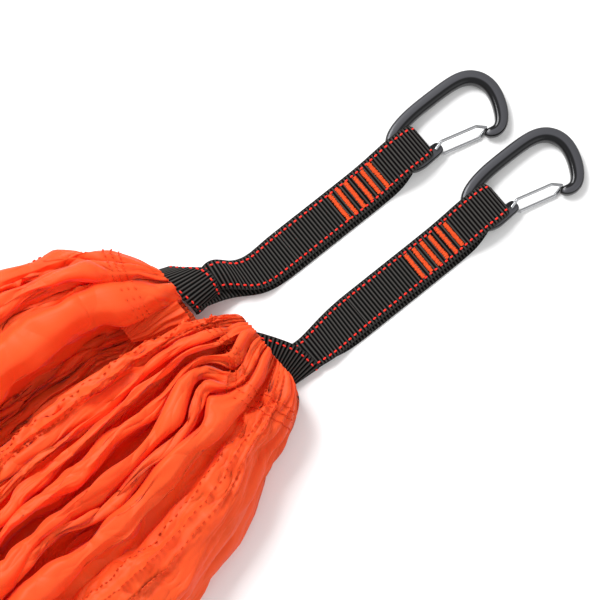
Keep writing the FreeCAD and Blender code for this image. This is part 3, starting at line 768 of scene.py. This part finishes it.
def channel_lining(end, side, material):
    """Cloth turned in round the webbing: a gathered throat inside the lip."""
    fan = FANS[side]
    middle = (fan["inner"] + fan["outer"]) / 2
    half = abs(fan["outer"] - fan["inner"]) / 2 - THROAT_INSET
    turns = np.linspace(0, 2 * math.pi, THROAT_SIDES, endpoint=False)
    rings = []
    for depth, size in THROAT:
        gather = 1 + 0.10 * np.cos(turns * 17 + depth / 9) + 0.05 * np.cos(turns * 31)
        rings.append(np.stack([
            np.full_like(turns, fan["lip_x"] - THROAT_BACK + depth),
            middle + half * size * gather * np.cos(turns),
            MOUTH_LEVEL + THROAT_HEIGHT * size * gather * np.sin(turns)], -1))
    piece = grid_mesh("end_channel_" + end, np.array(rings), material, wrap=True,
                      uv=np.zeros((len(rings), len(turns), 2)))
    finish_piece(piece, "end_channel_" + end)


def build_fabric():
    taffeta = nylon_taffeta()
    thread = twisted_thread("orange_polyester_thread", "#E84A1E", "#BE3412", 0.8)
    grid = cloth_surface()
    panel("side_panel_right", grid, 0, INNER_SEAM, taffeta)
    panel("centre_panel", grid, INNER_SEAM, OUTER_SEAM, taffeta)
    panel("side_panel_left", grid, OUTER_SEAM, KEY_COUNT - 1, taffeta)
    seam_rows("seam_thread_right", grid, INNER_SEAM, thread)
    seam_rows("seam_thread_left", grid, OUTER_SEAM, thread)
    rolled_hem("side_hem_right", grid, True, taffeta)
    rolled_hem("side_hem_left", grid, False, taffeta)
    for end, side in (("near", NEAR_END), ("far", FAR_END)):
        channel_lining(end, side, taffeta)
        channel_rows(end, side, grid, thread)


# ---- webbing straps --------------------------------------------------------
PLY = 1.5
RIB_PITCH, RIB_HEIGHT, RIB_POWER = 2.2, 0.5, 4.5
SELVEDGE, SELVEDGE_FADE = 0.90, 0.06  # the edge's finer ribs, as shares of half the width
EDGE_PITCH, EDGE_INSET = 3.9, 2.8  # the red stitches' pitch and distance from the edge
EDGE_STITCH = (2.1, 1.25, 0.9)  # length, width, height
TACKS, TACK_WIDTH, TACK_HALF, TACK_PITCH = 6, 2.7, 9.0, 0.52
SPLIT_X = {"near": 64.0, "far": 57.0}  # where each strap's two modelled stretches meet
STRAP_Y = {"near": -37.0, "far": 18.5}
LOWER_SHIFT = 2.6  # the lower ply lies this far aside of the upper
EYE_TOP = 10  # the eye turns under after this station
# Edges of the webbing as pairs of points, first edge then second.
# saddle: the ply that crosses the mouth, its far end tucked under the band.
# band: the doubled run that leaves from under the saddle.
# arch: where the band's crown is along it, how far it spreads, and its height.
LEADS = {
    "near": {
        "saddle": [((-18, -16, 15), (-9, 0, 15)), ((-14, -19, 20), (-3, -3, 21)),
            ((-9, -23, 24), (3.1, -7.6, 27.5)), ((-4, -27, 22.5), (8.5, -13.5, 27.5)),
            ((-1, -31, 20), (12.9, -19.4, 26)), ((0.6, -35, 16.5), (17.8, -26.2, 23)),
            ((1.6, -39, 13), (22.1, -32.4, 18.5)), ((2.6, -43, 9), (24.8, -38.5, 13.5)),
            ((3.3, -46.3, 5.5), (25.8, -44, 10)), ((3.8, -47.8, 2.6), (26.2, -48.6, 6.5)),
            ((4.5, -46.4, 1.0), (27, -49.2, 2.8)), ((6, -42, 0.9), (29, -44, 1.2))],
        "band": [((14, -45, 1.6), (13, -27, 2.6)), ((19, -47, 2.0), (18.5, -27.6, 4.4)),
            ((24, -48.6, 3.4), (23.2, -28.6, 6.4)), ((29, -49.6, 5.4), (28.6, -28.8, 7.4)),
            ((34, -50.3, 5.8), (34.5, -27.8, 6.8)), ((40, -50.6, 5.0), (41, -26.6, 5.2)),
            ((48, -50.2, 4.0), (49, -25.4, 4.0)), ((56, -49.7, 3.4), (56.5, -24.7, 3.4)),
            ((64, -49.5, 3.2), (64, -24.5, 3.2))],
        "arch": (12.0, 7.0, 2.2),
    },
    "far": {
        "saddle": [((-17, 56, 12), (-4, 52, 8)), ((-16.5, 52, 18), (0, 46, 14)),
            ((-15.8, 46.5, 22.5), (6, 40.8, 16.5)), ((-15, 40, 23.5), (9.8, 37.5, 17)),
            ((-13.8, 33.5, 23.5), (11, 33, 17)), ((-12.4, 27.5, 22.5), (10.8, 28.5, 16.2)),
            ((-11.2, 22.5, 20), (10, 24.6, 14)), ((-11, 19.6, 15.5), (9.6, 22.2, 10.5)),
            ((-11, 19, 9), (10, 21.6, 7)), ((-9, 22, 3), (12, 23, 2.5))],
        "band": [((3, 24, 7), (3, 37, 9)), ((7, 22.8, 8.5), (8, 39.6, 11.5)),
            ((11.2, 21.6, 9.6), (13.6, 40.2, 13)), ((16, 17.4, 10.4), (19, 38.4, 11)),
            ((21.4, 12.6, 9.6), (23.4, 33.6, 9)), ((27, 8.6, 8), (28.4, 30.6, 8)),
            ((33, 6.4, 6.4), (34.5, 29.6, 6.6)), ((40, 5.8, 4.8), (41, 30.0, 5)),
            ((48.5, 6.0, 3.6), (49, 30.8, 3.8)), ((57, 6.0, 3.2), (57, 31.0, 3.2))],
        "arch": (15.0, 9.0, 3.0),
    },
}


def ribbon_frames(pairs, step):
    """Evenly spaced frames along a strip: place, middle, along, across, up, and width."""
    pairs = np.array(pairs, float)
    dense = np.linspace(0, len(pairs) - 1, 60 * len(pairs))
    line = spline(pairs.mean(axis=1), dense)
    length = np.concatenate([[0], np.cumsum(np.linalg.norm(np.diff(line, axis=0), axis=1))])
    places = np.arange(0, length[-1] + step / 2, step)
    where = np.interp(places, length, dense)
    first, second = spline(pairs[:, 0], where), spline(pairs[:, 1], where)
    line = (first + second) / 2
    along = unit(np.gradient(line, axis=0))
    across = unit(second - first)
    up = unit(np.cross(along, across))
    return places, line, along, across, up, np.linalg.norm(second - first, axis=1)


def ribbed_ribbon(name, frames, material, arch=0.0):
    """Webbing strip with raised cross ribs and rounded selvedges, closed at both ends."""
    places, line, _, across, up, widths = frames
    share = np.linspace(-1, 1, 15)
    share = np.sign(share) * np.abs(share) ** 0.8
    rib = np.abs(np.sin(np.pi * places / RIB_PITCH)) ** RIB_POWER
    fine = np.abs(np.sin(2 * np.pi * places / RIB_PITCH)) ** 1.5
    edge = smooth((np.abs(share) - SELVEDGE) / SELVEDGE_FADE)
    crest = rib[:, None] * (1 - edge) + 0.6 * fine[:, None] * edge
    body = PLY / 2 * np.sqrt(np.clip(1 - np.abs(share) ** 10, 0, 1)) * 0.78
    lifted = body[None, :] + RIB_HEIGHT * (crest - 0.5) * (np.abs(share) < 0.999)[None, :]
    belly = (arch + np.zeros(len(places)))[:, None] * (1 - share[None, :] ** 2)
    base = line[:, None, :] + across[:, None, :] * (share[None, :] * widths[:, None] / 2)[..., None]
    upper = base + up[:, None, :] * (lifted + belly)[..., None]
    lower = base + up[:, None, :] * (belly - lifted)[..., None]
    piece = capped_tube(name, np.concatenate([upper, lower[:, ::-1]], axis=1), material)
    # The rib heights also go onto the mesh as a mask, with which the webbing's shader paints a
    # highlight on the crests and shade in the valleys.
    attribute = piece.data.attributes.new("crest", "FLOAT", "POINT")
    values = np.concatenate([crest, crest[:, ::-1]], axis=1).ravel()
    attribute.data.foreach_set("value", values.astype(np.float32))
    return piece


def edge_stitches(frames, start, finish, arch=0.0):
    """Stitches along both edges of a strip, on its upper side."""
    places, line, along, across, up, widths = frames
    arch = arch + np.zeros(len(places))
    stitches = []
    for side in (-1, 1):
        for place in np.arange(start, finish, EDGE_PITCH):
            k = min(np.searchsorted(places, place), len(places) - 1)
            share = 1 - EDGE_INSET / (widths[k] / 2)
            height = PLY * 0.5 + arch[k] * (1 - share ** 2)
            middle = line[k] + across[k] * side * share * widths[k] / 2 + up[k] * height
            stitches.append((middle, along[k], up[k], *EDGE_STITCH))
    return stitches


def eye_pairs(end):
    """Edges of the upper ply, over the carabiner's base, and of the lower ply back from it."""
    eye = local(JOINTS["carabiner_swing_" + end]["pos_m"])
    x, z, y, split = eye[0], eye[2], STRAP_Y[end], SPLIT_X[end]
    loop = [(split, 3.2, 25), (split + 10, 3.2, 25), (split + 30, 3.3, 25), (x - 34, 3.4, 25),
            (x - 22, 4.2, 25), (x - 12, 7.6, 25), (x - 4, z + 5.0, 25), (x + 4, z + 5.3, 25),
            (x + 11, z + 4.9, 25), (x + 16.5, z + 3.6, 24), (x + 18.6, z + 0.6, 18),
            (x + 17.0, z - 3.0, 15), (x + 11, z - 5.2, 17), (x + 3, z - 5.5, 21),
            (x - 8, z - 5.5, 24), (x - 22, 1.1, 25), (x - 40, 1.0, 25), (split + 30, 1.0, 25),
            (split + 8, 1.0, 25), (split, 1.0, 25)]
    pairs = []
    for k, (px, pz, width) in enumerate(loop):
        middle = y - LOWER_SHIFT if k > EYE_TOP and px < x - 6 else y
        pairs.append(((px, middle - width / 2, pz), (px, middle + width / 2, pz)))
    return pairs


def lower_ply_pairs(end):
    """Edges of the lower ply, from the split back under the band and up to the channel."""
    y, split = STRAP_Y[end] - LOWER_SHIFT, SPLIT_X[end]
    inwards = 4 if end == "near" else 6
    line = [(0, 0, 1.0, 25), (-8, 0, 1.0, 25), (-20, 0, 1.0, 24), (-31, 1, 1.4, 20),
            (-42, inwards, 4, 15), (-54, inwards + 2, 10, 12), (-68, inwards + 4, 18, 12)]
    return [((split + dx, y + dy - w / 2, z), (split + dx, y + dy + w / 2, z))
            for dx, dy, z, w in line]


def bar_tack_threads(end, frames):
    """Six dense bars of zigzag thread across the band, a little uneven."""
    _, line, along, across, up, _ = frames
    random = np.random.RandomState(3 if end == "near" else 4)
    low, high = [local(c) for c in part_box("bar_tacks_" + end)]
    pitch = (high[0] - low[0] - TACK_WIDTH) / (TACKS - 1)
    upper_run = line[:len(line) // 3, 0]
    stitches = []
    for bar in range(TACKS):
        x = low[0] + TACK_WIDTH / 2 + bar * pitch + random.uniform(-0.25, 0.25)
        lean = random.uniform(-0.02, 0.02)
        half = TACK_HALF + random.uniform(-0.5, 0.6)
        for y in np.arange(-half, half, TACK_PITCH):
            px = x + lean * y + random.uniform(-0.12, 0.12)
            k = np.argmin(np.abs(upper_run - px))
            middle = line[k] + across[k] * (y + random.uniform(-0.06, 0.06)) \
                + up[k] * (PLY * 0.5 + 0.15)
            slant = unit(along[k] + across[k] * random.uniform(-0.16, 0.16))
            length = TACK_WIDTH + random.uniform(-0.3, 0.4)
            stitches.append((middle, slant, up[k], length, 0.62, 0.75))
    return stitches


def build_strap(end, webbing, red, orange):
    """One strap: its plies, eye, edge stitching and bar tacks."""
    step = RIB_PITCH / 8
    body, carabiner = "strap_" + end, "carabiner_" + end
    saddle = ribbon_frames(LEADS[end]["saddle"], step)
    band = ribbon_frames(LEADS[end]["band"], step)
    crown, spread, height = LEADS[end]["arch"]
    hump = bump(band[0], crown, spread) * height
    loop = ribbon_frames(eye_pairs(end), step)
    over = loop[0][np.argmax(loop[1][:, 0])] - 3.0
    plies = [ribbed_ribbon("strap_saddle_" + end, saddle, webbing),
             ribbed_ribbon("strap_band_" + end, band, webbing, hump),
             ribbed_ribbon("strap_under_" + end, ribbon_frames(lower_ply_pairs(end), step), webbing)]
    rows = edge_stitches(saddle, 3, saddle[0][-1] - 6) \
        + edge_stitches(band, 7, band[0][-1], hump)
    lead_threads = thread_mesh("edge_stitching_lead_" + end, rows, red)
    eye = ribbed_ribbon("strap_eye_" + end, loop, webbing)
    eye_threads = thread_mesh("edge_stitching_eye_" + end, edge_stitches(loop, 1.5, over), red)
    tacks = thread_mesh("bar_tacks_" + end, bar_tack_threads(end, loop), orange)
    for piece in plies + [lead_threads]:
        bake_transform(piece)
    for piece in (eye, eye_threads):
        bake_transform(piece)
    finish_piece(tacks, "bar_tacks_" + end, body)
    for pieces, node, slot in ((plies + [eye], "strap_", "black_webbing"),
                               ((lead_threads, eye_threads), "edge_stitching_", "edge_thread")):
        for piece in pieces:
            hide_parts(node + end)


# ---- carabiners ------------------------------------------------------------
# Stations along the forged body, from the hinge boss round the base, up the spine and
# round the bow to the nose: (along the long axis, off it, width, thickness), from the
# base rod's middle.
BODY_STATIONS = [
    (24.5, -9.5, 1.5, 2.5), (24.1, -9.5, 5.0, 4.6), (22.8, -9.5, 7.4, 5.4), (20, -9.5, 8.2, 5.6),
    (16.5, -9.7, 8.0, 5.8), (13, -10.1, 7.8, 6.4), (9.5, -10.4, 7.6, 7.2), (6.0, -10.2, 7.4, 7.6),
    (2.2, -8.6, 7.6, 7.8), (0, -4.8, 7.8, 7.8), (0, 0, 7.8, 7.8), (0, 5.2, 7.8, 7.8),
    (1.4, 9.4, 7.9, 7.8), (4.4, 12.2, 8.2, 7.9), (8.4, 13.9, 8.5, 8), (13, 15.2, 8.6, 8),
    (19, 16.2, 8.6, 8), (26, 16.8, 8.6, 8), (34, 16.9, 8.6, 8), (42, 16.9, 8.6, 8),
    (50, 16.8, 8.6, 8), (57, 16.2, 8.7, 8), (62.6, 14.6, 8.8, 8), (66.8, 11.7, 8.9, 8),
    (69.9, 7.4, 9.0, 8), (71.4, 1.8, 9.0, 8), (70.8, -4.2, 9.0, 8), (69.0, -10.0, 8.9, 8),
    (66.4, -15.2, 8.8, 7.8), (63.4, -19.6, 8.2, 7.6), (60.0, -22.2, 7.6, 7.4),
    (56.6, -22.8, 7.0, 7.0), (53.6, -22.0, 6.6, 6.6), (51.6, -20.8, 5.8, 6.0),
    (50.2, -19.8, 3.8, 4.0), (49.7, -19.3, 1.2, 1.6),
]
SECTION_SIDES, RINGS = 28, 190
SQUARENESS = 0.6  # 1 for a round section, towards 0 for a square one
INNER_SHADE_AND_GLOSS = 1.8  # darkens the inner wall as painted shade and keeps it glossy


def carabiner_up(end):
    return Vector(JOINTS["gate_open_" + end]["axis"]).normalized()


def carabiner_placer(end):
    """A function from the carabiner's own flat frame to metres in the row frame."""
    eye, up = Vector(JOINTS["carabiner_swing_" + end]["pos_m"]), carabiner_up(end)
    ahead = Vector((0, 1, 0)).cross(up).normalized()
    side = up.cross(ahead)

    def place(x, y, z):
        return eye + (ahead * x + side * y + up * z) * MM
    return place


def forged_body(end, material):
    """The carabiner's body: one section drawn along its path, flat-topped with round shoulders."""
    stations = np.array(BODY_STATIONS, float)
    path = spline(stations, np.linspace(0, len(stations) - 1, RINGS))
    heading = unit(np.gradient(path[:, :2], axis=0))
    place = carabiner_placer(end)
    angles = [2 * math.pi * k / SECTION_SIDES for k in range(SECTION_SIDES)]
    section = [[math.copysign(abs(turn(a)) ** SQUARENESS, turn(a)) / 2
                for turn in (math.cos, math.sin)] for a in angles]

    def ring_points(k):
        (x, y, width, thick), (hx, hy) = path[k], heading[k]
        return [place(x - hy * u * width, y + hx * u * width, v * thick) for u, v in section]

    bm = bmesh.new()
    lit_top_layer = bm.verts.layers.float.new("lit_satin_top")
    first = bmesh.ops.create_circle(bm, cap_ends=True, segments=SECTION_SIDES, radius=1.0)["verts"]
    for vert, point in zip(first, ring_points(0)):
        vert.co = point
    face = bm.faces[:][0]
    for k in range(1, RINGS):
        face = bmesh.ops.extrude_discrete_faces(bm, faces=[face])["faces"][0]
        for loop, point, (u, _) in zip(face.loops, ring_points(k), section):
            loop.vert.co = point
            loop.vert[lit_top_layer] = min(0.0, INNER_SHADE_AND_GLOSS * u)
    bmesh.ops.recalc_face_normals(bm, faces=bm.faces)
    bm.normal_update()
    # Faces turned up raise the mask, as painted light on the top face; the inner wall stays low, as
    # painted shade.
    up = carabiner_up(end)
    for vert in bm.verts:
        vert[lit_top_layer] += max(0.0, vert.normal.dot(up))
    name = "carabiner_body_" + end
    mesh = bpy.data.meshes.new(name)
    bm.to_mesh(mesh)
    bm.free()
    finish_piece(finished_object(name, mesh, material), name,
                 "carabiner_" + end)


def build_carabiner(end, anodised, steel):
    """The forged body is drawn anew; the wire gate keeps its own shape and gets its finish."""
    forged_body(end, anodised)
    mesh = frame["nodes"]["gate_wire_" + end].data
    mesh.materials.clear()
    mesh.materials.append(steel)
    mesh.shade_smooth()


# ---- studio ---------------------------------------------------------------
VIEW_HEADING = 51.0  # the view looks along this direction, degrees from +X
VIEW_ELEVATION = 78.0
VIEW_DISTANCE = 1.25
VIEW_MIDDLE = (43.0, -10.0, 0.0)
VIEW_WIDTH = 0.353  # floor width that the picture covers
SENSOR_WIDTH = 36.0
FLOOR_HALF = 6.0
AIR_LIGHT = 0.72
# Softboxes, from the view's middle: (name, to its right, ahead of it, up, side, watts).
SOFTBOXES = (("key_softbox", -0.9, 0.9, 1.5, 1.0, 52.0), ("fill_softbox", 1.3, -0.6, 1.4, 1.4, 7.0))


def aimed(name, data, place, target):
    """An object that stands at a place and looks at a target."""
    thing = link(bpy.data.objects.new(name, data))
    thing.location = place
    thing.rotation_mode = "QUATERNION"
    thing.rotation_quaternion = (target - place).to_track_quat("-Z", "Y")
    return thing


def build_studio():
    """The camera, the pale floor, two softboxes and even light from all round."""
    target = Vector(metre(VIEW_MIDDLE))
    heading, rise = math.radians(VIEW_HEADING), math.radians(VIEW_ELEVATION)
    right = Vector((math.sin(heading), -math.cos(heading), 0))
    ahead = Vector((math.cos(heading), math.sin(heading), 0))
    back = Vector((-math.cos(heading) * math.cos(rise), -math.sin(heading) * math.cos(rise),
                   math.sin(rise)))
    camera_data = bpy.data.cameras.new("studio_camera")
    camera_data.sensor_width = SENSOR_WIDTH
    camera_data.lens = SENSOR_WIDTH * VIEW_DISTANCE / VIEW_WIDTH
    camera_data.clip_end = 50.0
    camera = aimed("studio_camera", camera_data, target + back * VIEW_DISTANCE, target)
    bpy.context.scene.camera = camera

    bm = bmesh.new()
    bmesh.ops.create_grid(bm, x_segments=1, y_segments=1, size=FLOOR_HALF)
    floor_mesh = bpy.data.meshes.new("floor")
    bm.to_mesh(floor_mesh)
    bm.free()
    floor = link(bpy.data.objects.new("floor", floor_mesh))
    floor_mesh.materials.append(backdrop_paper())

    for name, sideways, forwards, height, size, power in SOFTBOXES:
        light = bpy.data.lights.new(name, "AREA")
        light.shape, light.size, light.energy = "SQUARE", size, power
        aimed(name, light, target + right * sideways + ahead * forwards + Vector((0, 0, height)),
              target)
    world = bpy.data.worlds.new("studio_air")
    world.use_nodes = True
    background = world.node_tree.nodes["Background"].inputs
    background["Color"].default_value = linear("#FFFFFF")
    background["Strength"].default_value = AIR_LIGHT
    bpy.context.scene.world = world
    bpy.context.scene.view_settings.view_transform = "Standard"


def main():
    build_fabric()
    webbing = grosgrain_polyester()
    red = twisted_thread("red_polyester_thread", "#FF3A2E", "#D81C14", 0.6)
    orange = twisted_thread("orange_bar_tack_thread", "#EA5A26", "#B83A12", 0.5)
    anodised, steel = anodised_aluminium(), polished_steel()
    for end in ("near", "far"):
        build_strap(end, webbing, red, orange)
        build_carabiner(end, anodised, steel)
    build_studio()


main()
